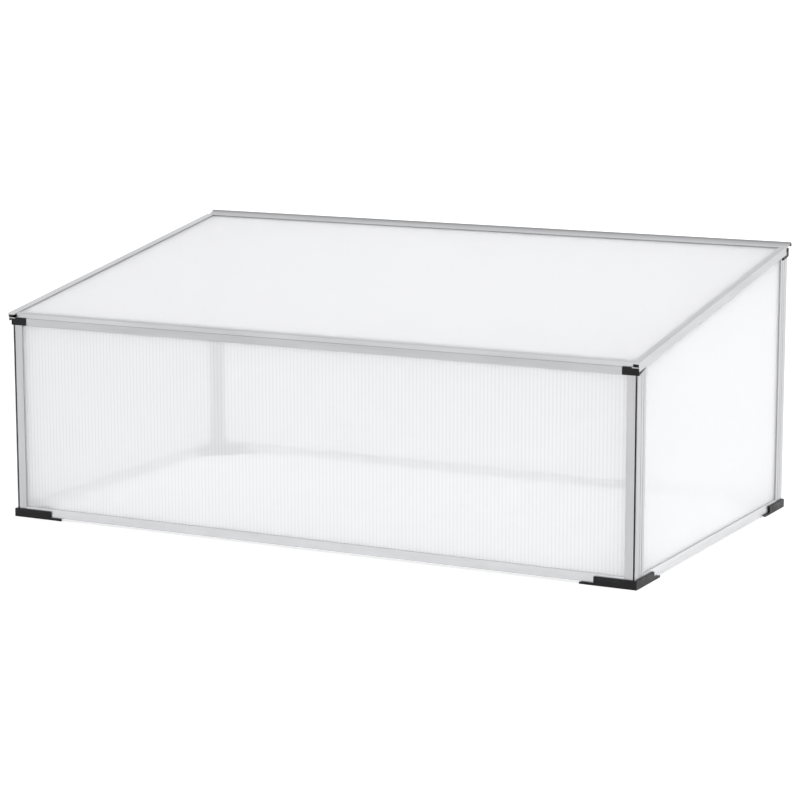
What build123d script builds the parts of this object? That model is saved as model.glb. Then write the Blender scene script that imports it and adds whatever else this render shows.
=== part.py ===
from build123d import *
import math
import os

# Cold frame: an aluminium and twin-wall sheet box on four corner feet, with a
# sloping lid that turns on a bead along the top of the rear wall.
# Millimetres. +X is to the right as seen from the front, +Y to the rear, +Z up.
# The origin is on the ground, midway between the corner posts.

# ---- overall sizes -------------------------------------------------------
width = 1000.0                # outside the posts, left to right
depth = 580.0                 # outside the posts, front to rear
lid_slope = math.degrees(math.atan(0.16))
lid_front = 1.0               # the lid's front face stands this far in front of the posts
lid_front_height = 309.2      # top edge of the lid at its front face
lid_half = 504.0              # half the lid's width
lid_length = 571.0            # rear end of a side rail, along the slope
lid_nose = 5.5                # reach of a side rail in front of the front rail

# ---- twin-wall sheet -----------------------------------------------------
sheet = 4.0
flute_pitch = 5.7
skin = 0.4                    # thickness of each face and of each rib
sheet_gap = 0.2               # play on each side of a sheet in its slot
sheet_play = 0.6              # play at the two upright edges of a wall sheet

# ---- wall rails and posts ------------------------------------------------
wall = 1.3                    # wall thickness of the extrusions
slot = sheet + 2 * sheet_gap
rail_width = 2 * wall + slot
web = 1.2
post_flange = 16.0            # length of a post's front arm, from the outside
post_side = 28.0              # length of a post's side arm
post_corner = 10.0            # solid corner that holds the screw port
post_slot_front = 8.0         # slot floors, from the outside faces
post_slot_side = 19.0
corner_groove = 2.5           # width of the open groove beside the corner
port_in = 3.2                 # screw port centre, in from the side face
port_back = 6.6               # and back from the front face
port_radius = 1.95
side_grooves = (12.3, 19.8)   # fine grooves down a post's side face
joint_gap = 0.2               # gap between pieces that butt together

bottom_rail_low = 3.0
bottom_rail_high = 16.0
bottom_web = 10.0             # top of the web that carries the sheet
top_rail_low = 290.0
top_rail_high = 300.9
top_web = 295.5               # underside of the web over the sheet
rear_rail_low = 381.0
rear_rail_high = 392.0
rear_web = 386.5
inner_step = 1.2              # a bottom rail's inner wall is lower than its outer wall
side_rail_fall = 8.0          # height of a side top rail's inner wall
side_outer_fall = 5.0         # and of its outer wall
side_web = -3.0               # underside of its web, below its top
hem_top = 320.0               # above every front post
rear_hem_top = 420.0          # above every rear post
riser_low = 394.0             # where the rear rail's wall becomes the hinge wall
neck_length = 4.6             # from the bead's centre to the hinge wall

# ---- feet ----------------------------------------------------------------
foot_wall = 3.0
foot_plate = 3.0
foot_height = 12.2
foot_arm = 63.0               # upright lip, from the outside corner
foot_leg = 84.0               # base plate, from the outside corner
foot_rib = 24.0               # length of the rib inside a bottom rail
peg_hole_in = 30.0            # ground peg hole, from both outside faces
peg_hole_radius = 4.25
foot_rib_gap = 0.3            # play of a rib in its rail, each side

# ---- screws --------------------------------------------------------------
screw_radius = 1.75           # foot and bracket screws
screw_head = 3.3
screw_head_depth = 1.35
head_seat = 3.8               # counterbore in a foot
head_seat_depth = 1.7
foot_screw_top = 22.0
bracket_screw_length = 18.0
bracket_head_below = 2.0      # seat, below the top of a bracket's cap

# ---- top brackets --------------------------------------------------------
bracket_wall = 1.6
bracket_low = 290.3
bracket_high = 300.9
bracket_face = 24.6           # front face, from the outside corner
bracket_side = 19.0
bracket_rise = 5.9            # the side's lower edge rises by this much to its rear end
bracket_rib = 18.0
rear_bracket_wall = 1.6
rear_bracket_side = 23.0
rear_side_low = -18.5         # lower edge of its side, below the lid's top plane
rear_bracket_low = 384.0
rear_bracket_high = 396.4
wall_top = -8.8               # top of the walls, below the lid's top plane
cap_thickness = 3.0
ear_out = 2.4                 # reach of the ear inside the lid's side flange
ear_length = 19.0
ear_top = -9.0
ear_low = -14.6
rib_gap = 0.25                # play of a bracket's rib in its rail, each side

# ---- lid rails, in the lid's own plane -----------------------------------
lid_wall = 1.2
ridge = 0.6                   # height of the outer edge above the lid's top plane
top_step = 0.8                # depth of the inner strip below it
top_under = -2.0              # underside of the top plates
ledge_top = top_under - slot
ledge_low = ledge_top - web
side_top = 11.5               # width of a side rail's top plate
side_fall = 7.6               # width of its sloping outer strip
flange_drop = 11.8
side_ledge = 13.2
skirt_low = -16.0
skirt_start = 22.0
skirt_end = 560.0
front_top = 6.5               # depth of the front rail's top plate
front_face_low = -8.1         # lower edge of its face
front_sheet_start = 2.0       # front edge of the lid's sheet, along the slope
front_ledge = 16.0
front_skirt_low = -13.0
chamber = 6.9                 # room beside the lid sheet for the corner keys
hinge_back = 584.0
hinge_ledge_start = 568.0
hinge_chamber = 577.7
strip_lift = 110.0            # where the hinge strip meets the knuckle, round its axis

# ---- corner keys ---------------------------------------------------------
key_gap = 0.15                # play of a key in its rail
key_low = ledge_top + key_gap
key_high = top_under - key_gap
key_leg = 27.0                # leg in the front or hinge rail
key_long = 45.0               # leg in the side rail
front_leg_end = 5.2           # rear face of the front key's leg, along the slope
notch_end = 5.5               # rear edge of the sheet's notch for that leg
key_screw_in = 4.5            # key screws, in from the lid's side
key_screw_along = 30.0        # key screws, in from each end of the side rail
key_screw_radius = 1.25
key_screw_head = 2.4          # countersunk, flush under the ledge

# ---- hinge ---------------------------------------------------------------
hinge_along = 591.2           # axis, along the slope from the lid's front face
hinge_below = -1.6            # axis, below the lid's top plane
bead_radius = 2.52
knuckle_inner = 2.6
knuckle_outer = 4.0
knuckle_wrap = (-44.0, 180.0)  # angles that the knuckle covers, in the lid's plane
bead_neck = 217.0             # direction of the neck from the bead, from +Y
neck_thickness = 1.4
bead_half = 499.0
knuckle_half = 504.0

# ---- prop stays ----------------------------------------------------------
stay_reach = 400.0            # stay pivot to hinge axis
peg_reach = 430.0             # rest peg to hinge axis
prop_angles = (15.0, 30.0, 45.0)
stay_level = -12.0            # pivot, below the lid's top plane
peg_level = -12.8
stay_width = 10.0
stay_inner = 488.3
stay_thickness = 2.0
pivot_radius = 2.0
peg_radius = 2.0
notch_play = 0.6              # a notch is wider than its peg by this much
notch_lean = 50.0             # direction of the notches from the bar
bar_end = 12.0                # bar beyond its last notch
rivet_head = 4.0
rivet_collar = 3.4
rivet_tail = 2.9
peg_head = 3.4
peg_collar = 3.8

half_width = width / 2
half_depth = depth / 2
lid_plane = Pos(0, -half_depth - lid_front, lid_front_height) * Rot(lid_slope, 0, 0)
slope_cos = math.cos(math.radians(lid_slope))
slope_sin = math.sin(math.radians(lid_slope))
hinge_y = -half_depth - lid_front + hinge_along * slope_cos - hinge_below * slope_sin
hinge_z = lid_front_height + hinge_along * slope_sin + hinge_below * slope_cos


# ---- helpers -------------------------------------------------------------
def rect(a0, a1, b0, b1):
    """Rectangle between two limits on each sketch axis."""
    return Pos((a0 + a1) / 2, (b0 + b1) / 2) * Rectangle(abs(a1 - a0), abs(b1 - b0))


def block(x0, x1, y0, y1, z0, z1):
    """Block between two limits on each axis."""
    middle = Pos((x0 + x1) / 2, (y0 + y1) / 2, (z0 + z1) / 2)
    return middle * Box(abs(x1 - x0), abs(y1 - y0), abs(z1 - z0))


def outline(*points):
    """Closed polygon through the points."""
    return make_face(Polyline(*points, close=True))


def along_x(sketch, x0, x1):
    """Extrude a section drawn in Y-Z from x0 to x1."""
    return Pos(x0, 0, 0) * extrude(Plane.YZ * sketch, amount=x1 - x0)


def along_y(sketch, y0, y1):
    """Extrude a section drawn in X-Z from y0 to y1."""
    return Pos(0, y1, 0) * extrude(Plane.XZ * sketch, amount=y1 - y0)


def along_z(sketch, z0, z1):
    """Extrude a section drawn in X-Y from z0 to z1."""
    return Pos(0, 0, z0) * extrude(sketch, amount=z1 - z0)


def rod(radius, x0, x1, y, z):
    """Round bar along X."""
    return Pos((x0 + x1) / 2, y, z) * Rot(0, 90, 0) * Cylinder(radius, abs(x1 - x0))


def pin(radius, z0, z1, x, y):
    """Round bar along Z."""
    return Pos(x, y, (z0 + z1) / 2) * Cylinder(radius, z1 - z0)


def above_lid_level(level):
    """Everything above a plane parallel to the lid, at this height in its plane."""
    return lid_plane * block(-700, 700, -200, 900, level, 500)


def below_lid_level(level):
    """Everything below a plane parallel to the lid, at this height in its plane."""
    return lid_plane * block(-700, 700, -200, 900, level, -500)


def to_side(shape, side):
    """A shape drawn on the right, or its mirror image on the left."""
    return shape if side == "right" else mirror(shape, about=Plane.YZ)


# ---- twin-wall sheets ----------------------------------------------------
def fluted_section(length):
    """Section of a twin-wall sheet across its flutes, centred, in X-Y."""
    count = int((length - 2 * skin) // flute_pitch)
    flute = Rectangle(flute_pitch - skin, sheet - 2 * skin)
    flutes = [place * flute for place in GridLocations(flute_pitch, 1, count, 1)]
    return Rectangle(length, sheet) - flutes


def front_sheet():
    """Front wall sheet, its flutes upright."""
    half = half_width - post_slot_front - sheet_play
    section = Pos(0, -half_depth + wall + slot / 2) * fluted_section(2 * half)
    return along_z(section, bottom_web + sheet_gap, top_web - sheet_gap)


def rear_sheet():
    """Rear wall sheet, its flutes upright."""
    half = half_width - post_slot_front - sheet_play
    section = Pos(0, half_depth - wall - slot / 2) * fluted_section(2 * half)
    return along_z(section, bottom_web + sheet_gap, rear_web - sheet_gap)


def side_sheet():
    """Right wall sheet, its top edge cut along the lid."""
    half = half_depth - post_slot_side - sheet_play
    section = Pos(half_width - wall - slot / 2, 0) * Rot(0, 0, 90) * fluted_section(2 * half)
    tall = along_z(section, bottom_web + sheet_gap, rear_rail_high)
    return tall - above_lid_level(wall_top + side_web - sheet_gap)


def lid_sheet():
    """Lid sheet, with a notch at each front corner for the corner key's leg."""
    side_edge = lid_half - chamber - joint_gap
    end = hinge_chamber - joint_gap
    upright = along_z(fluted_section(2 * side_edge), front_sheet_start, end)
    flat = Pos(0, 0, top_under - slot / 2) * Rot(-90, 0, 0) * upright
    inner = lid_half - chamber - key_leg
    for side in (-1, 1):
        flat -= block(side * inner, side * lid_half, 0, notch_end, ledge_top, top_under)
    return lid_plane * flat


# ---- posts and wall rails ------------------------------------------------
def post_section():
    """Section of a corner post, its outside corner at the origin: -X in, +Y back."""
    section = rect(-rail_width, 0, 0, post_corner)
    section += rect(-post_flange, 0, 0, rail_width)
    section += rect(-rail_width, 0, 0, post_side)
    section -= rect(-post_flange, -post_slot_front, wall, wall + slot)
    section -= rect(-wall - slot, -wall, post_slot_side, post_side)
    section -= rect(-wall - slot, -wall, post_corner, post_slot_side - web)
    section -= rect(-wall - corner_groove, -wall, 0, port_back)
    section -= Pos(-port_in, port_back) * Circle(port_radius)
    for back in side_grooves:
        section -= rect(-0.5, 0, back - 0.5, back + 0.5)
    return section


def front_post():
    """Right-hand front post, its top cut along the lid."""
    section = Pos(half_width, -half_depth) * post_section()
    return along_z(section, foot_plate, hem_top) - above_lid_level(wall_top - cap_thickness - joint_gap)


def rear_post():
    """Right-hand rear post, its top cut along the lid."""
    section = Pos(half_width, half_depth) * mirror(post_section(), about=Plane.XZ)
    return along_z(section, foot_plate, rear_hem_top) - above_lid_level(wall_top - cap_thickness - joint_gap)


def channel_section(outer, inner, web_low):
    """H section of a wall rail in depth and height, from the limits of its outer and inner walls."""
    section = rect(0, wall, *outer)
    section += rect(wall + slot, rail_width, *inner)
    section += rect(0, rail_width, web_low, web_low + web)
    return section


def bottom_section():
    """Section of a bottom rail."""
    outer = (bottom_rail_low, bottom_rail_high)
    return channel_section(outer, (bottom_rail_low, bottom_rail_high - inner_step), bottom_web - web)


def bottom_rail_x():
    """Front bottom rail."""
    half = half_width - post_flange - joint_gap
    return Pos(0, -half_depth, 0) * along_x(bottom_section(), -half, half)


def bottom_rail_y():
    """Right bottom rail."""
    half = half_depth - post_side - joint_gap
    return Pos(half_width, 0, 0) * along_y(mirror(bottom_section(), about=Plane.YZ), -half, half)


def front_top_rail():
    """Front wall top rail."""
    height = (top_rail_low, top_rail_high)
    section = channel_section(height, height, top_web)
    half = half_width - post_flange - joint_gap
    return Pos(0, -half_depth, 0) * along_x(section, -half, half)


def side_top_rail():
    """Right top rail: it runs parallel to the lid and ends square against the posts."""
    outer = (wall_top - side_outer_fall, wall_top)
    inner = (wall_top - side_rail_fall, wall_top)
    channel = channel_section(outer, inner, wall_top + side_web)
    section = mirror(channel, about=Plane.YZ)
    long = lid_plane * along_y(Pos(half_width, 0) * section, 0, hinge_back)
    reach = half_depth - post_side - joint_gap
    hole_y, hole_z = lid_point(hinge_along - peg_reach, peg_level)
    hole_end = half_width - wall - slot
    hole = rod(peg_radius - 0.45, half_width - rail_width - 1, hole_end, hole_y, hole_z)
    return (long & block(0, 2 * half_width, -reach, reach, 0, rear_hem_top)) - hole


def rear_top_rail():
    """Rear top rail, whose outer wall rises to the round bead that the lid turns on."""
    height = (rear_rail_low, rear_rail_high)
    section = mirror(channel_section(height, height, rear_web), about=Plane.YZ)
    half = half_width - post_flange - joint_gap
    rail = Pos(0, half_depth, 0) * along_x(section, -half, half)
    turn = math.radians(bead_neck)
    corner_y = hinge_y + neck_length * math.cos(turn)
    corner_z = hinge_z + neck_length * math.sin(turn)
    neck = Pos(hinge_y, hinge_z) * Rot(0, 0, bead_neck)
    neck *= rect(0, neck_length, -neck_thickness / 2, neck_thickness / 2)
    riser = rect(half_depth - wall, half_depth, riser_low, corner_z)
    knee = Pos(corner_y, corner_z) * Circle(neck_thickness / 2)
    bead = Pos(hinge_y, hinge_z) * Circle(bead_radius)
    rail += along_x(neck + riser + knee + bead, -bead_half, bead_half)
    link = rect(half_depth - wall, half_depth, rear_rail_high - 1, riser_low + 1)
    rail += along_x(link, -half, half)
    return rail


# ---- feet ----------------------------------------------------------------
def foot(post_sign):
    """Right-hand foot, at the front (post_sign -1) or the rear (post_sign +1)."""
    corner_x = half_width + foot_wall
    corner_y = half_depth + foot_wall
    plate = outline((corner_x, -corner_y), (corner_x - foot_leg, -corner_y), (corner_x, -corner_y + foot_leg))
    shape = along_z(plate, 0, foot_plate)
    shape += block(corner_x - foot_arm, corner_x, -corner_y, -half_depth, 0, foot_height)
    shape += block(half_width, corner_x, -corner_y, -corner_y + foot_arm, 0, foot_height)
    rib_low = wall + foot_rib_gap
    rib_high = wall + slot - foot_rib_gap
    rib_top = bottom_web - web - 0.4
    start = half_width - post_flange - joint_gap
    shape += block(start - foot_rib, start, -half_depth + rib_low, -half_depth + rib_high, 0, rib_top)
    start = -half_depth + post_side + joint_gap
    shape += block(half_width - rib_high, half_width - rib_low, start, start + foot_rib, 0, rib_top)
    hole_x = corner_x - peg_hole_in
    hole_y = -corner_y + peg_hole_in
    shape -= pin(peg_hole_radius, -1, foot_plate + 1, hole_x, hole_y)
    screw_x = half_width - port_in
    screw_y = -half_depth + port_back
    shape -= pin(port_radius + 0.1, -1, foot_plate + 1, screw_x, screw_y)
    shape -= pin(head_seat, -1, head_seat_depth, screw_x, screw_y)
    return shape if post_sign < 0 else mirror(shape, about=Plane.XZ)


def foot_screws():
    """Four pan-head screws, up through the feet into the posts' screw ports."""
    screws = Part()
    for x in (-half_width + port_in, half_width - port_in):
        for y in (-half_depth + port_back, half_depth - port_back):
            screws += pin(screw_head, head_seat_depth - 0.05 - screw_head_depth, head_seat_depth - 0.05, x, y)
            screws += pin(screw_radius, head_seat_depth - 0.1, foot_screw_top, x, y)
    return screws


# ---- top brackets --------------------------------------------------------
def bracket_screw_head(y):
    """Seat of the head of a bracket screw, whose axis is upright."""
    along = (y + half_depth + lid_front) / slope_cos
    return lid_front_height + along * slope_sin + wall_top / slope_cos - bracket_head_below


def bracket_screws():
    """Four pan-head screws, down through the top brackets into the posts."""
    screws = Part()
    for x in (-half_width + port_in, half_width - port_in):
        for y in (-half_depth + port_back, half_depth - port_back):
            seat = bracket_screw_head(y)
            screws += pin(screw_head, seat + 0.05, seat + 0.05 + screw_head_depth, x, y)
            screws += pin(screw_radius, seat - bracket_screw_length, seat + 0.1, x, y)
    return screws


def bracket_cap(sign):
    """Cap over a right-hand post: sign -1 for the front, +1 for the rear."""
    plan = rect(half_width - post_flange, half_width, sign * half_depth, sign * (half_depth - rail_width))
    plan += rect(half_width - rail_width, half_width, sign * half_depth, sign * (half_depth - post_side))
    cap = along_z(plan, bracket_low - 40, rear_hem_top)
    cap -= above_lid_level(wall_top)
    cap -= below_lid_level(wall_top - cap_thickness)
    return cap


def bracket_ribs(sign, rib_low, rib_high):
    """Ribs that lie in the open channels on top of the wall rails beside a right-hand post."""
    channel_low = wall + rib_gap
    channel_high = wall + slot - rib_gap
    end = half_width - post_flange
    outer = sign * (half_depth - channel_low)
    inner = sign * (half_depth - channel_high)
    ribs = block(end - bracket_rib, end + 1, outer, inner, rib_low, rib_high)
    start = sign * (half_depth - post_side + 1)
    stop = sign * (half_depth - post_side - bracket_rib)
    side = block(half_width - channel_high, half_width - channel_low, start, stop, 0, rear_hem_top)
    side -= above_lid_level(wall_top - 0.1)
    side -= below_lid_level(wall_top - 1.5)
    return ribs + side


def bracket_screw_hole(y):
    """Hole and head seat for a bracket screw."""
    x = half_width - port_in
    seat = bracket_screw_head(y)
    return pin(port_radius, seat - 12, seat + 1, x, y) + pin(screw_head + 0.3, seat, seat + 8, x, y)


def front_bracket():
    """Right-hand front bracket, with its ear under the lid's side rail."""
    front = -half_depth - bracket_wall
    outer = half_width + bracket_wall
    shape = bracket_cap(-1)
    shape += bracket_ribs(-1, top_web + web + 0.2, top_rail_high - 0.1)
    shape += block(outer - bracket_face, outer, front, -half_depth, bracket_low, bracket_high)
    rear = front + bracket_side
    side = outline((front, bracket_low), (rear, bracket_low + bracket_rise), (rear, hem_top), (front, hem_top))
    shape += along_x(side, half_width, outer) - above_lid_level(wall_top)
    shape += lid_plane * block(outer - 0.5, half_width + ear_out, 0.5, ear_length, ear_low, ear_top)
    return shape - bracket_screw_hole(-half_depth + port_back)


def rear_bracket():
    """Right-hand rear bracket."""
    rear = half_depth + rear_bracket_wall
    outer = half_width + bracket_wall
    shape = bracket_cap(1)
    shape += bracket_ribs(1, rear_web + web + 0.2, rear_rail_high - 0.1)
    back = block(outer - bracket_face, outer, half_depth, rear, rear_bracket_low, rear_bracket_high)
    side = block(half_width, outer, rear - rear_bracket_side, rear, 0, rear_hem_top)
    side -= above_lid_level(wall_top)
    side -= below_lid_level(rear_side_low)
    tab = block(half_width, outer, half_depth - 1.2, rear, rear_bracket_low + 4, rear_bracket_high)
    shape += back + side + tab
    return shape - bracket_screw_hole(half_depth - port_back)


# ---- lid -----------------------------------------------------------------
def lid_point(along, level):
    """World Y and Z of a point given along the slope and above the lid's top plane."""
    y = -half_depth - lid_front + along * slope_cos - level * slope_sin
    z = lid_front_height + along * slope_sin + level * slope_cos
    return y, z


def lid_side_section():
    """Right side rail in X and height, in the lid's plane."""
    inner = lid_half - side_top
    fall = lid_half - side_fall
    section = outline((lid_half - 0.5, ridge), (fall, -top_step), (inner, -top_step), (inner, top_under),
                      (lid_half, top_under), (lid_half, ridge - 0.5))
    section += rect(lid_half - lid_wall, lid_half, -flange_drop, -1)
    section += rect(lid_half - side_ledge, lid_half, ledge_low, ledge_top)
    return section


def lid_side_rail():
    """Right side rail of the lid, with the skirt that carries the prop stay."""
    rail = along_y(lid_side_section(), -lid_nose, lid_length)
    inner = lid_half - side_ledge
    rail += block(inner, inner + lid_wall, skirt_start, skirt_end, skirt_low, ledge_low)
    peg = hinge_along - peg_reach
    rail -= block(inner - 1, inner + lid_wall + 1, peg - 10, peg + 10, skirt_low - 1, ledge_low)
    rail -= rod(pivot_radius, inner - 1, inner + lid_wall + 1, hinge_along - stay_reach, stay_level)
    rail -= block(inner - 1, lid_half - side_top, -lid_nose - 1, wall + joint_gap, ledge_low - 1, ledge_top + 1)
    for along in key_screw_places():
        rail -= countersunk(lid_half - key_screw_in, along, 0.15)
    return lid_plane * rail


def lid_front_rail():
    """Front rail of the lid, between the side rails."""
    face = outline((0, -top_step - 0.7), (0.7, -top_step), (front_top, -top_step), (front_top, top_under),
                   (wall, top_under), (wall, front_face_low), (0, front_face_low))
    butt = lid_half - side_top - joint_gap
    inner = lid_half - side_ledge - joint_gap
    rail = along_x(face, -butt, butt)
    rail += along_x(rect(0.6, front_ledge, ledge_low, ledge_top), -inner, inner)
    skirt = rect(front_ledge - lid_wall, front_ledge, front_skirt_low, ledge_top)
    rail += along_x(skirt, -inner + 8, inner - 8)
    return lid_plane * rail


def knuckle_section():
    """Open ring of the hinge knuckle, round the origin."""
    start, end = knuckle_wrap
    ring = Circle(knuckle_outer) - Circle(knuckle_inner)
    reach = 3 * knuckle_outer
    corners = [(0, 0)]
    open_angle = 360 - (end - start)
    for share in (0, 0.5, 1):
        angle = math.radians(end + share * open_angle)
        corners.append((reach * math.cos(angle), reach * math.sin(angle)))
    return ring - outline(*corners)


def lid_hinge_rail():
    """Rear rail of the lid: its rear edge rises over the knuckle that turns on the bead."""
    strip_start = lid_length + 0.3
    plate = rect(strip_start, hinge_back, top_under, -top_step)
    back = rect(hinge_back - wall, hinge_back, ledge_low, -top_step)
    lift = math.radians(strip_lift)
    outer = (hinge_along + knuckle_outer * math.cos(lift), hinge_below + knuckle_outer * math.sin(lift))
    inner = (hinge_along + knuckle_inner * math.cos(lift), hinge_below + knuckle_inner * math.sin(lift))
    strip = outline((strip_start, -top_step), (hinge_back - 1, -top_step), outer, inner,
                    (hinge_back + 0.6, top_under), (strip_start, top_under))
    knuckle = Pos(hinge_along, hinge_below) * knuckle_section()
    butt = lid_half - side_top - joint_gap
    ledge_end = lid_half - side_ledge - joint_gap
    rail = along_x(strip + knuckle, -knuckle_half, knuckle_half)
    rail += along_x(plate + back, -butt, butt)
    rail += along_x(rect(hinge_ledge_start, hinge_back, ledge_low, ledge_top), -ledge_end, ledge_end)
    return lid_plane * rail


def hinge_plug():
    """Right-hand plug in the end of the knuckle, past the end of the bead."""
    start = bead_half + 0.4
    plug = rod(knuckle_inner - 0.02, start, knuckle_half + 0.2, hinge_along, hinge_below)
    return lid_plane * plug


def key_screw_places():
    """Places of the key screws along the slope, front and rear."""
    return (key_screw_along, lid_length - key_screw_along)


def countersunk(x, along, play):
    """Countersunk head and shank up through a ledge, wider by the play all round."""
    head = Cone(key_screw_head + play, key_screw_radius + play, web)
    shank = pin(key_screw_radius + play, ledge_low, ledge_top + 2 * play, x, along)
    return Pos(x, along, (ledge_low + ledge_top) / 2) * head + shank


def key_screw_bore(place):
    """Blind bore in a right-hand key for its screw."""
    x = lid_half - key_screw_in
    return pin(key_screw_radius + 0.05, key_low - 1, key_high - 0.8, x, key_screw_places()[place])


def front_key():
    """Right-hand front corner key: one leg in the side rail, one in the front rail."""
    outer = lid_half - lid_wall - key_gap
    inner = lid_half - chamber + 0.1
    key = block(inner, outer, 0.5 - lid_nose, key_long, key_low, key_high)
    key += block(inner - key_leg, outer, wall + key_gap, front_leg_end, key_low, key_high)
    return lid_plane * (key - key_screw_bore(0))


def rear_key():
    """Right-hand rear corner key: one leg in the side rail, one in the hinge rail."""
    outer = lid_half - lid_wall - key_gap
    inner = lid_half - chamber + 0.1
    back = hinge_back - wall - joint_gap
    key = block(inner, outer, lid_length - key_long, back, key_low, key_high)
    key += block(inner - key_leg, outer, hinge_chamber + joint_gap, back, key_low, key_high)
    return lid_plane * (key - key_screw_bore(1))


def key_screws():
    """Four screws, up through the side rails' ledges into the corner keys."""
    screws = Part()
    for x in (-lid_half + key_screw_in, lid_half - key_screw_in):
        for along in key_screw_places():
            screws += countersunk(x, along, 0)
            screws += pin(key_screw_radius, ledge_low, key_high - 1, x, along)
    return lid_plane * screws


# ---- prop stays ----------------------------------------------------------
def notch_reaches():
    """Distance from the stay's pivot to each notch, one for each prop angle."""
    reaches = []
    for angle in prop_angles:
        square = stay_reach ** 2 + peg_reach ** 2
        square -= 2 * stay_reach * peg_reach * math.cos(math.radians(angle))
        reaches.append(math.sqrt(square))
    return reaches


def stay():
    """Right-hand stay, lying along the lid: notched bar with its pivot hole at the origin."""
    reaches = notch_reaches()
    length = reaches[-1] + bar_end
    radius = stay_width / 2
    bar = rect(0, length, -radius, radius) + Circle(radius) + Pos(length, 0) * Circle(radius)
    bar -= Circle(pivot_radius + 0.06)
    notch_width = 2 * peg_radius + notch_play
    for reach in reaches:
        bar -= Pos(reach, 0) * Circle(notch_width / 2)
        mouth = rect(0, 2 * stay_width, -notch_width / 2, notch_width / 2)
        bar -= Pos(reach, 0) * Rot(0, 0, notch_lean) * mouth
    pivot = Pos(0, hinge_along - stay_reach, stay_level)
    return lid_plane * pivot * along_x(bar, stay_inner, stay_inner + stay_thickness)


def stay_rivets():
    """Two pivot rivets, one through each stay and its side rail's skirt."""
    along = hinge_along - stay_reach
    skirt = lid_half - side_ledge
    rivet = rod(rivet_head, stay_inner - 1.9, stay_inner - 0.1, along, stay_level)
    rivet += rod(pivot_radius - 0.02, stay_inner - 0.2, skirt + lid_wall + 0.2, along, stay_level)
    rivet += rod(rivet_collar, stay_inner + stay_thickness + 0.1, skirt, along, stay_level)
    rivet += rod(rivet_tail, skirt + lid_wall, skirt + lid_wall + 0.4, along, stay_level)
    rivet = lid_plane * rivet
    return rivet + mirror(rivet, about=Plane.YZ)


def rest_pegs():
    """Two pegs on the side walls that the stays' notches hook over."""
    along = hinge_along - peg_reach
    face = half_width - rail_width
    peg = rod(peg_head, stay_inner - 1.4, stay_inner - 0.5, along, peg_level)
    peg += rod(peg_radius, stay_inner - 0.6, face, along, peg_level)
    peg += rod(peg_collar, face - 1.4, face, along, peg_level)
    peg += rod(peg_radius - 0.5, face - 0.1, face + wall, along, peg_level)
    peg = lid_plane * peg
    return peg + mirror(peg, about=Plane.YZ)


# ---- assembly ------------------------------------------------------------
def all_parts():
    """Every sub-part by name."""
    parts = {
        "front_panel": front_sheet(),
        "rear_panel": rear_sheet(),
        "lid_panel": lid_sheet(),
        "front_bottom_rail": bottom_rail_x(),
        "rear_bottom_rail": mirror(bottom_rail_x(), about=Plane.XZ),
        "front_top_rail": front_top_rail(),
        "rear_top_rail": rear_top_rail(),
        "lid_front_rail": lid_front_rail(),
        "lid_hinge_rail": lid_hinge_rail(),
        "foot_screws": foot_screws(),
        "bracket_screws": bracket_screws(),
        "key_screws": key_screws(),
        "stay_rivets": stay_rivets(),
        "rest_pegs": rest_pegs(),
    }
    right_hand = {
        "panel_{}": side_sheet(),
        "bottom_rail_{}": bottom_rail_y(),
        "top_rail_{}": side_top_rail(),
        "post_front_{}": front_post(),
        "post_rear_{}": rear_post(),
        "foot_front_{}": foot(-1),
        "foot_rear_{}": foot(1),
        "bracket_front_{}": front_bracket(),
        "bracket_rear_{}": rear_bracket(),
        "lid_side_rail_{}": lid_side_rail(),
        "corner_key_front_{}": front_key(),
        "corner_key_rear_{}": rear_key(),
        "hinge_plug_{}": hinge_plug(),
        "stay_{}": stay(),
    }
    for name, shape in right_hand.items():
        for side in ("left", "right"):
            parts[name.format(side)] = to_side(shape, side)
    return parts


os.makedirs("parts", exist_ok=True)
for name, shape in all_parts().items():
    export_step(shape, f"parts/{name}.step")
print(f"hinge axis at Y {hinge_y:.3f}, Z {hinge_z:.3f}")
stay_y, stay_z = lid_point(hinge_along - stay_reach, stay_level)
print(f"stay pivots at Y {stay_y:.3f}, Z {stay_z:.3f}")
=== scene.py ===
import math

import bpy
from mathutils import Matrix, Vector

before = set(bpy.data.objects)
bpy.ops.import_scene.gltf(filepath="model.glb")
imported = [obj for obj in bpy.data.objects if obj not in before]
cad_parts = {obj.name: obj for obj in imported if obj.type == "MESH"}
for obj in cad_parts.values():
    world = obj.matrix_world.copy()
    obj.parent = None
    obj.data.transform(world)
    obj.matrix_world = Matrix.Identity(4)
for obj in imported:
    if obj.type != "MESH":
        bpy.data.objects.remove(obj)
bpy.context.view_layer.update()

# ---- every number that sets a colour, a finish, the light or the camera -------
ALUMINIUM_DARK = (0.443, 0.445, 0.454)
ALUMINIUM_LIGHT = (0.503, 0.505, 0.515)
ALUMINIUM_ROUGH = (0.28, 0.40)
DIE_LINES = (1400.0, 4.0)      # cycles per metre across the extrusion, and along it
ALUMINIUM_CLOUD = (60.0, 6.0)  # the same for the change of tone
DIE_LINE_DEPTH = 0.00002
BOTTOM_RAIL_PAINTED_LIGHT = 1.3         # painted light: the bottom rails are painted this much paler, standing in for the brighter floor they reflect
LIP_PAINTED_REFLECTION_TONE = 0.4                 # painted dark reflection: share of its colour that the hinge rail keeps at its crest
LIP_CREST = 0.4048             # height of the crest, where the painted reflection is darkest
LIP_FOOT = 0.3995              # height below which the colour stays as it is, with no painted reflection

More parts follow.
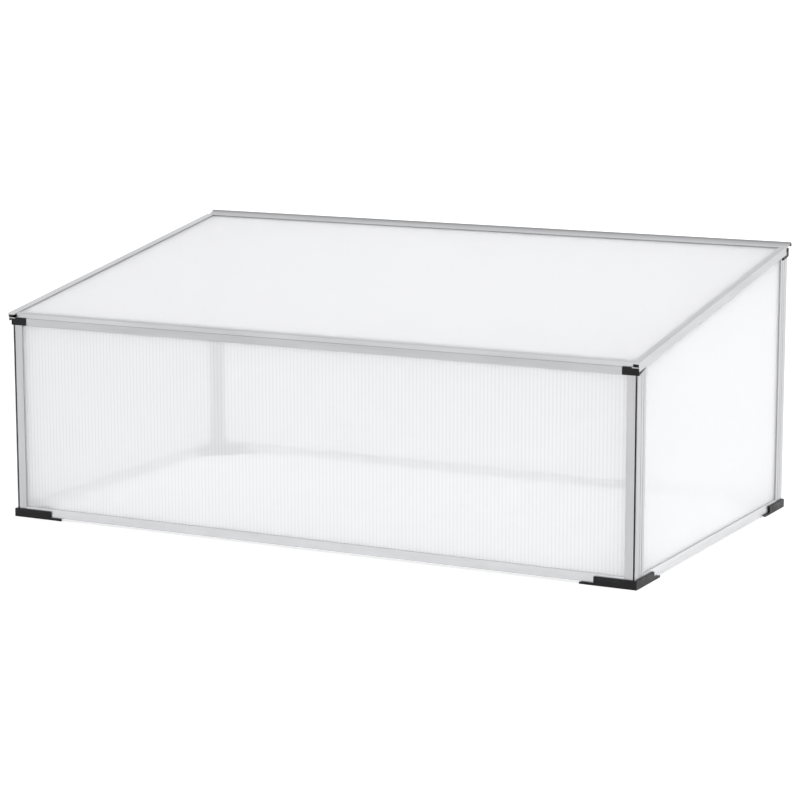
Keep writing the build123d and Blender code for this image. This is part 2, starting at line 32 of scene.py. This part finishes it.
SHEET_COLOUR = (0.978, 0.979, 0.983)
SHEET_RIB_COLOUR = (0.86, 0.861, 0.868)
# painted shade: the side panels and the lid are the same twin-wall sheet as the front and rear,
# their colours darkened to even out how the light falls on them
SIDE_SHADED_COLOUR = (0.958, 0.959, 0.965)
SIDE_SHADED_RIB_COLOUR = (0.92, 0.921, 0.928)
LID_SHADED_COLOUR = (0.954, 0.955, 0.962)
LID_SHADED_RIB_COLOUR = (0.918, 0.919, 0.926)
FLUTE_PITCH = 0.0057           # from rib to rib
WALL_SHEET_CLEAR = 0.66        # share of light that passes straight through each face
LID_SHEET_CLEAR = 0.47
SHEET_GLOW = 0.5               # share of the rest that is scattered through the sheet
SHEET_ROUGH = 0.3
SHEET_IOR = 1.58               # polycarbonate

PLASTIC_DARK = (0.003, 0.003, 0.0032)
PLASTIC_LIGHT = (0.009, 0.009, 0.0095)
PLASTIC_ROUGH = (0.36, 0.52)
PLASTIC_SPECULAR = 0.25
PLASTIC_SPECKLE = 1600.0       # cycles per metre
PLASTIC_SPECKLE_DETAIL = 2.0
PLASTIC_SPECKLE_DEPTH = 0.00006
PLASTIC_CLOUD = 70.0

STEEL_DARK = (0.42, 0.42, 0.42)
STEEL_LIGHT = (0.62, 0.62, 0.61)
STEEL_ROUGH = (0.25, 0.42)
STEEL_CLOUD = 500.0

FLOOR_SIZE = 80.0
FLOOR_DEPTH = 0.0002           # the floor lies this far below the feet
FLOOR_COLOUR = (0.74, 0.74, 0.74)
FLOOR_SHADE = 0.99             # the darker patches keep this share of the colour
FLOOR_CLOUD = 3.0
FLOOR_ROUGH = 0.9
FLOOR_SPECULAR = 0.1
FLOOR_GLOW = 0.50              # the floor is a light table, so nothing on it throws a shadow

SKY_LOW = 0.80                 # at the horizon
SKY_HIGH = 1.75                # overhead
SKY_REAR = 0.30                # added behind the object, and taken away in front of it
SKY_RIGHT = 0.12               # added on the right, and taken away on the left
SIDE_LIGHT = 0.55
SIDE_LIGHT_SIZE = 2.2
SIDE_LIGHT_PLACE = (3.0, 0.8, 1.2)
SIDE_LIGHT_TARGET = (0.0, 0.0, 0.2)

CAMERA_LENS = 122.63           # focal length and sensor width, in millimetres
CAMERA_SENSOR = 36.0
CAMERA_REACH = 200.0
CAMERA_PLACE = (1.8462, -3.5799, 0.8943)
CAMERA_TURN = 27.327           # degrees round from the front towards the right
CAMERA_DIP = 10.182            # degrees below level
CAMERA_ROLL = -0.074

NOISE_DETAIL = 3.0
NOISE_ROUGHNESS = 0.55
NOISE_LOW, NOISE_HIGH = 0.3, 0.7   # nearly all of the noise falls between these


# ---- node helpers ------------------------------------------------------------
def new_material(name):
    """A new material with an empty node tree, and its output."""
    material = bpy.data.materials.new(name)
    material.use_nodes = True
    tree = material.node_tree
    tree.nodes.clear()
    output = tree.nodes.new("ShaderNodeOutputMaterial")
    return material, tree, output


def join(tree, source, target):
    """Link one node's output to another node's input."""
    tree.links.new(source, target)


def along(axis, across_value, along_value):
    """Three values, alike but for the one along the axis (0, 1 or 2)."""
    values = [across_value] * 3
    values[axis] = along_value
    return values


def object_noise(tree, scale, detail=NOISE_DETAIL):
    """Noise over the piece's own coordinates, at scale cycles per metre along X, Y and Z."""
    place = tree.nodes.new("ShaderNodeTexCoord")
    mapping = tree.nodes.new("ShaderNodeMapping")
    mapping.inputs["Scale"].default_value = scale
    noise = tree.nodes.new("ShaderNodeTexNoise")
    noise.inputs["Scale"].default_value = 1.0
    noise.inputs["Detail"].default_value = detail
    noise.inputs["Roughness"].default_value = NOISE_ROUGHNESS
    join(tree, place.outputs["Object"], mapping.inputs["Vector"])
    join(tree, mapping.outputs["Vector"], noise.inputs["Vector"])
    return noise.outputs["Fac"]


def colour_ramp(tree, value, low, high, first, last):
    """Colour that goes from first to last as the value goes from low to high."""
    ramp = tree.nodes.new("ShaderNodeValToRGB")
    ramp.color_ramp.elements[0].position = low
    ramp.color_ramp.elements[0].color = (*first, 1.0)
    ramp.color_ramp.elements[1].position = high
    ramp.color_ramp.elements[1].color = (*last, 1.0)
    join(tree, value, ramp.inputs["Fac"])
    return ramp.outputs["Color"]


def cloudy(tree, noise, dark, light):
    """Colour that drifts between dark and light with the noise."""
    return colour_ramp(tree, noise, NOISE_LOW, NOISE_HIGH, dark, light)


def spread(tree, noise, low, high):
    """The noise's middle range stretched between low and high."""
    ranged = tree.nodes.new("ShaderNodeMapRange")
    ranged.inputs["From Min"].default_value = NOISE_LOW
    ranged.inputs["From Max"].default_value = NOISE_HIGH
    ranged.inputs["To Min"].default_value = low
    ranged.inputs["To Max"].default_value = high
    join(tree, noise, ranged.inputs["Value"])
    return ranged.outputs["Result"]


def bump(tree, height, distance):
    """Normal of a surface raised by the height times the distance, in metres."""
    node = tree.nodes.new("ShaderNodeBump")
    node.inputs["Strength"].default_value = 1.0
    node.inputs["Distance"].default_value = distance
    join(tree, height, node.inputs["Height"])
    return node.outputs["Normal"]


def object_axis(tree, axis):
    """One of the piece's own coordinates, in metres."""
    place = tree.nodes.new("ShaderNodeTexCoord")
    split = tree.nodes.new("ShaderNodeSeparateXYZ")
    join(tree, place.outputs["Object"], split.inputs["Vector"])
    return split.outputs["XYZ"[axis]]


def scaled(tree, value, factor, start=None):
    """The value times a factor, added to the start value if there is one."""
    node = tree.nodes.new("ShaderNodeMath")
    node.operation = "MULTIPLY_ADD"
    join(tree, value, node.inputs[0])
    node.inputs[1].default_value = factor
    if start is None:
        node.inputs[2].default_value = 0.0
    else:
        join(tree, start, node.inputs[2])
    return node.outputs["Value"]


# ---- materials ------------------------------------------------------------------
def aluminium(name, axis, tone=1.0):
    """Satin extrusion, its fine die lines along one axis (0, 1 or 2), its colours times tone."""
    material, tree, output = new_material(name)
    shader = tree.nodes.new("ShaderNodeBsdfPrincipled")
    shader.inputs["Metallic"].default_value = 1.0
    lines = object_noise(tree, along(axis, *DIE_LINES))
    cloud = object_noise(tree, along(axis, *ALUMINIUM_CLOUD))
    dark = tuple(tone * c for c in ALUMINIUM_DARK)
    light = tuple(tone * c for c in ALUMINIUM_LIGHT)
    join(tree, cloudy(tree, cloud, dark, light), shader.inputs["Base Color"])
    join(tree, spread(tree, lines, *ALUMINIUM_ROUGH), shader.inputs["Roughness"])
    join(tree, bump(tree, lines, DIE_LINE_DEPTH), shader.inputs["Normal"])
    join(tree, shader.outputs["BSDF"], output.inputs["Surface"])
    return material


def paint_lip_reflection(material):
    """Darken a rail's colour towards its crest, a painted dark reflection."""
    tree = material.node_tree
    shader = next(node for node in tree.nodes if node.type == "BSDF_PRINCIPLED")
    colour = shader.inputs["Base Color"].links[0].from_socket
    ranged = tree.nodes.new("ShaderNodeMapRange")
    ranged.inputs["From Min"].default_value = LIP_FOOT
    ranged.inputs["From Max"].default_value = LIP_CREST
    ranged.inputs["To Min"].default_value = 1.0
    ranged.inputs["To Max"].default_value = LIP_PAINTED_REFLECTION_TONE
    join(tree, object_axis(tree, 2), ranged.inputs["Value"])
    shade = tree.nodes.new("ShaderNodeVectorMath")
    shade.operation = "SCALE"
    join(tree, colour, shade.inputs[0])
    join(tree, ranged.outputs["Result"], shade.inputs["Scale"])
    join(tree, shade.outputs["Vector"], shader.inputs["Base Color"])


def rib_lines(tree, axis):
    """1 at each rib of a twin-wall sheet and -1 midway between two, across one axis."""
    turn = scaled(tree, object_axis(tree, axis), 2.0 * math.pi / FLUTE_PITCH)
    wave = tree.nodes.new("ShaderNodeMath")
    wave.operation = "COSINE"
    join(tree, turn, wave.inputs[0])
    return wave.outputs["Value"]


def twinwall(name, axis, clear, colour, rib_colour):
    """Milky twin-wall sheet with flutes side by side along one axis, greyer at each rib."""
    material, tree, output = new_material(name)
    shader = tree.nodes.new("ShaderNodeBsdfPrincipled")
    tint = colour_ramp(tree, rib_lines(tree, axis), 0.0, 1.0, colour, rib_colour)
    join(tree, tint, shader.inputs["Base Color"])
    shader.inputs["Roughness"].default_value = SHEET_ROUGH
    shader.inputs["IOR"].default_value = SHEET_IOR
    glow = tree.nodes.new("ShaderNodeBsdfTranslucent")
    join(tree, tint, glow.inputs["Color"])
    body = tree.nodes.new("ShaderNodeMixShader")
    body.inputs["Fac"].default_value = SHEET_GLOW
    join(tree, shader.outputs["BSDF"], body.inputs[1])
    join(tree, glow.outputs["BSDF"], body.inputs[2])
    window = tree.nodes.new("ShaderNodeBsdfTransparent")
    mixed = tree.nodes.new("ShaderNodeMixShader")
    mixed.inputs["Fac"].default_value = clear
    join(tree, body.outputs["Shader"], mixed.inputs[1])
    join(tree, window.outputs["BSDF"], mixed.inputs[2])
    join(tree, mixed.outputs["Shader"], output.inputs["Surface"])
    return material


def plastic(name):
    """Black moulded plastic with a fine spark-eroded texture."""
    material, tree, output = new_material(name)
    shader = tree.nodes.new("ShaderNodeBsdfPrincipled")
    speckle = object_noise(tree, [PLASTIC_SPECKLE] * 3, PLASTIC_SPECKLE_DETAIL)
    cloud = object_noise(tree, [PLASTIC_CLOUD] * 3)
    join(tree, cloudy(tree, cloud, PLASTIC_DARK, PLASTIC_LIGHT), shader.inputs["Base Color"])
    join(tree, spread(tree, cloud, *PLASTIC_ROUGH), shader.inputs["Roughness"])
    shader.inputs["Specular IOR Level"].default_value = PLASTIC_SPECULAR
    join(tree, bump(tree, speckle, PLASTIC_SPECKLE_DEPTH), shader.inputs["Normal"])
    join(tree, shader.outputs["BSDF"], output.inputs["Surface"])
    return material


def steel(name):
    """Zinc-plated steel of the screws, rivets and pegs."""
    material, tree, output = new_material(name)
    shader = tree.nodes.new("ShaderNodeBsdfPrincipled")
    shader.inputs["Metallic"].default_value = 1.0
    cloud = object_noise(tree, [STEEL_CLOUD] * 3)
    join(tree, cloudy(tree, cloud, STEEL_DARK, STEEL_LIGHT), shader.inputs["Base Color"])
    join(tree, spread(tree, cloud, *STEEL_ROUGH), shader.inputs["Roughness"])
    join(tree, shader.outputs["BSDF"], output.inputs["Surface"])
    return material


def floor_material():
    """Matt pale floor that gives off some light of its own."""
    material, tree, output = new_material("pale_floor")
    shader = tree.nodes.new("ShaderNodeBsdfPrincipled")
    cloud = object_noise(tree, [FLOOR_CLOUD] * 3)
    shade = tuple(FLOOR_SHADE * c for c in FLOOR_COLOUR)
    join(tree, cloudy(tree, cloud, shade, FLOOR_COLOUR), shader.inputs["Base Color"])
    shader.inputs["Roughness"].default_value = FLOOR_ROUGH
    shader.inputs["Emission Color"].default_value = (1.0, 1.0, 1.0, 1.0)
    shader.inputs["Emission Strength"].default_value = FLOOR_GLOW
    shader.inputs["Specular IOR Level"].default_value = FLOOR_SPECULAR
    join(tree, shader.outputs["BSDF"], output.inputs["Surface"])
    return material


ALONG_X = aluminium("aluminium_along_x", 0)
ALONG_Y = aluminium("aluminium_along_y", 1)
ALONG_Z = aluminium("aluminium_along_z", 2)
# bottom rails: the same aluminium with painted light, its colour made paler
BOTTOM_LIT_X = aluminium("aluminium_bottom_painted_light_x", 0, BOTTOM_RAIL_PAINTED_LIGHT)
BOTTOM_LIT_Y = aluminium("aluminium_bottom_painted_light_y", 1, BOTTOM_RAIL_PAINTED_LIGHT)
# the hinge rail's colour carries a painted dark reflection along its crest
HINGE_RAIL_PAINTED_REFLECTION = aluminium("aluminium_hinge_rail_painted_reflection", 0)
paint_lip_reflection(HINGE_RAIL_PAINTED_REFLECTION)
# the side and lid sheets carry painted shade in their colours
SHEET_X = twinwall("twinwall_across_x", 0, WALL_SHEET_CLEAR, SHEET_COLOUR, SHEET_RIB_COLOUR)
SHEET_Y_SHADED = twinwall("twinwall_across_y_painted_shade", 1, WALL_SHEET_CLEAR, SIDE_SHADED_COLOUR, SIDE_SHADED_RIB_COLOUR)
LID_SHEET_SHADED = twinwall("twinwall_lid_painted_shade", 0, LID_SHEET_CLEAR, LID_SHADED_COLOUR, LID_SHADED_RIB_COLOUR)
BLACK = plastic("black_plastic_moulded")
STEEL = steel("zinc_plated_steel")


def material_for(node):
    """The material that a CAD node takes, from its name."""
    # lid and side panels take sheets with painted shade
    if node == "lid_panel":
        return LID_SHEET_SHADED
    if node.startswith("panel"):
        return SHEET_Y_SHADED
    if node.endswith("panel"):
        return SHEET_X
    # the hinge rail takes the aluminium with a painted dark reflection
    if node == "lid_hinge_rail":
        return HINGE_RAIL_PAINTED_REFLECTION
    # bottom rails take the aluminium with painted light
    if "bottom_rail" in node:
        return BOTTOM_LIT_Y if node.endswith(("_left", "_right")) else BOTTOM_LIT_X
    if node.startswith("post"):
        return ALONG_Z
    if node in ("foot_screws", "bracket_screws", "key_screws", "stay_rivets", "rest_pegs"):
        return STEEL
    if node.startswith(("foot", "bracket", "corner_key", "hinge_plug")):
        return BLACK
    if node.endswith(("_left", "_right")):
        return ALONG_Y
    return ALONG_X


for node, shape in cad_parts.items():
    for slot in shape.material_slots:
        slot.material = material_for(node)


# ---- floor, light and camera ---------------------------------------------------------
def floor():
    """Flat floor under the feet, wide enough to fill the picture."""
    bpy.ops.mesh.primitive_plane_add(size=FLOOR_SIZE)
    plane = bpy.context.object
    plane.name = "studio_floor"
    plane.location = (0.0, 0.0, -FLOOR_DEPTH)
    plane.data.materials.append(floor_material())


def soft_light(name, location, target, size, radiance):
    """Square soft light that faces target."""
    lamp = bpy.data.lights.new(name, "AREA")
    lamp.shape = "SQUARE"
    lamp.size = size
    lamp.energy = radiance * math.pi * size * size
    holder = bpy.data.objects.new(name, lamp)
    holder.location = location
    direction = Vector(target) - Vector(location)
    holder.rotation_mode = "QUATERNION"
    holder.rotation_quaternion = direction.to_track_quat("-Z", "Y")
    bpy.context.scene.collection.objects.link(holder)


def sky():
    """Pale surroundings, brightest overhead, and brighter to the rear and the right."""
    world = bpy.data.worlds.new("studio")
    bpy.context.scene.world = world
    world.use_nodes = True
    tree = world.node_tree
    tree.nodes.clear()
    place = tree.nodes.new("ShaderNodeTexCoord")
    split = tree.nodes.new("ShaderNodeSeparateXYZ")
    climb = tree.nodes.new("ShaderNodeMapRange")
    climb.interpolation_type = "SMOOTHSTEP"
    climb.inputs["From Min"].default_value = 0.0
    climb.inputs["From Max"].default_value = 1.0
    climb.inputs["To Min"].default_value = SKY_LOW
    climb.inputs["To Max"].default_value = SKY_HIGH
    background = tree.nodes.new("ShaderNodeBackground")
    output = tree.nodes.new("ShaderNodeOutputWorld")
    join(tree, place.outputs["Generated"], split.inputs["Vector"])
    join(tree, split.outputs["Z"], climb.inputs["Value"])
    strength = scaled(tree, split.outputs["Y"], SKY_REAR, climb.outputs["Result"])
    strength = scaled(tree, split.outputs["X"], SKY_RIGHT, strength)
    join(tree, strength, background.inputs["Strength"])
    join(tree, background.outputs["Background"], output.inputs["Surface"])


def camera():
    """Long lens, seen from the front right and a little above."""
    data = bpy.data.cameras.new("camera")
    data.lens = CAMERA_LENS
    data.sensor_width = CAMERA_SENSOR
    data.clip_end = CAMERA_REACH
    holder = bpy.data.objects.new("camera", data)
    place = Matrix.Translation(CAMERA_PLACE)
    turn = Matrix.Rotation(math.radians(CAMERA_TURN), 4, "Z")
    tilt = Matrix.Rotation(math.radians(90.0 - CAMERA_DIP), 4, "X")
    roll = Matrix.Rotation(math.radians(CAMERA_ROLL), 4, "Z")
    holder.matrix_world = place @ turn @ tilt @ roll
    bpy.context.scene.collection.objects.link(holder)
    bpy.context.scene.camera = holder


floor()
sky()
soft_light("side_light", SIDE_LIGHT_PLACE, SIDE_LIGHT_TARGET, SIDE_LIGHT_SIZE, SIDE_LIGHT)
camera()

scene = bpy.context.scene
scene.view_settings.view_transform = "Standard"
scene.cycles.max_bounces = 16
scene.cycles.diffuse_bounces = 6
scene.cycles.glossy_bounces = 6
scene.cycles.transmission_bounces = 12
scene.cycles.transparent_max_bounces = 64
